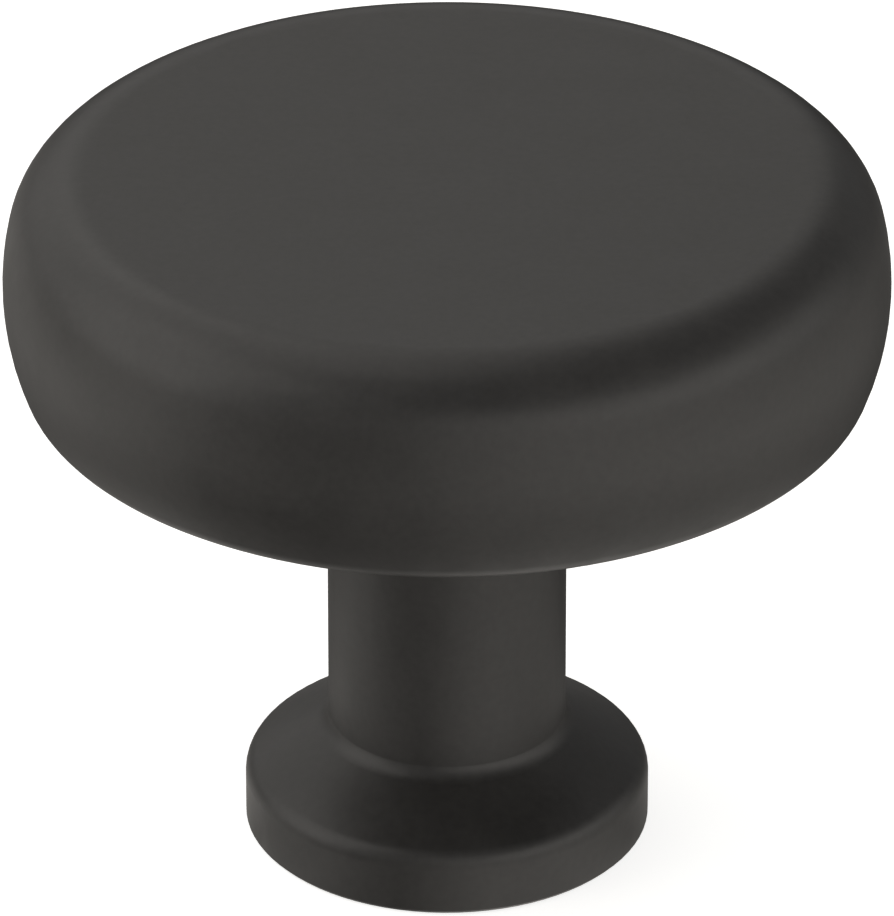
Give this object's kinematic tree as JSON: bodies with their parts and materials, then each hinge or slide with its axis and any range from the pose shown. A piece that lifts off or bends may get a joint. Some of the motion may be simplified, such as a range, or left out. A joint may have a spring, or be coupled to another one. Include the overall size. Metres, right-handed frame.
{
  "type": "cabinet knob",
  "caption": "Round cabinet knob with a flat-topped, softly rounded head on a straight stem and a coned foot, screwed on from behind.",
  "frame": {"origin": "middle of the seat that lies on the drawer front, on the knob's axis", "axes": "+Z along the knob's axis, from the seat towards the head; the knob is round, so X and Y are free"},
  "size_m": [0.0318, 0.0318, 0.0264],
  "materials": {
    "black_coat": "satin black coat over die-cast zinc"
  },
  "bodies": {
    "root": {"knob": "black_coat"}
  },
  "joints": []
}
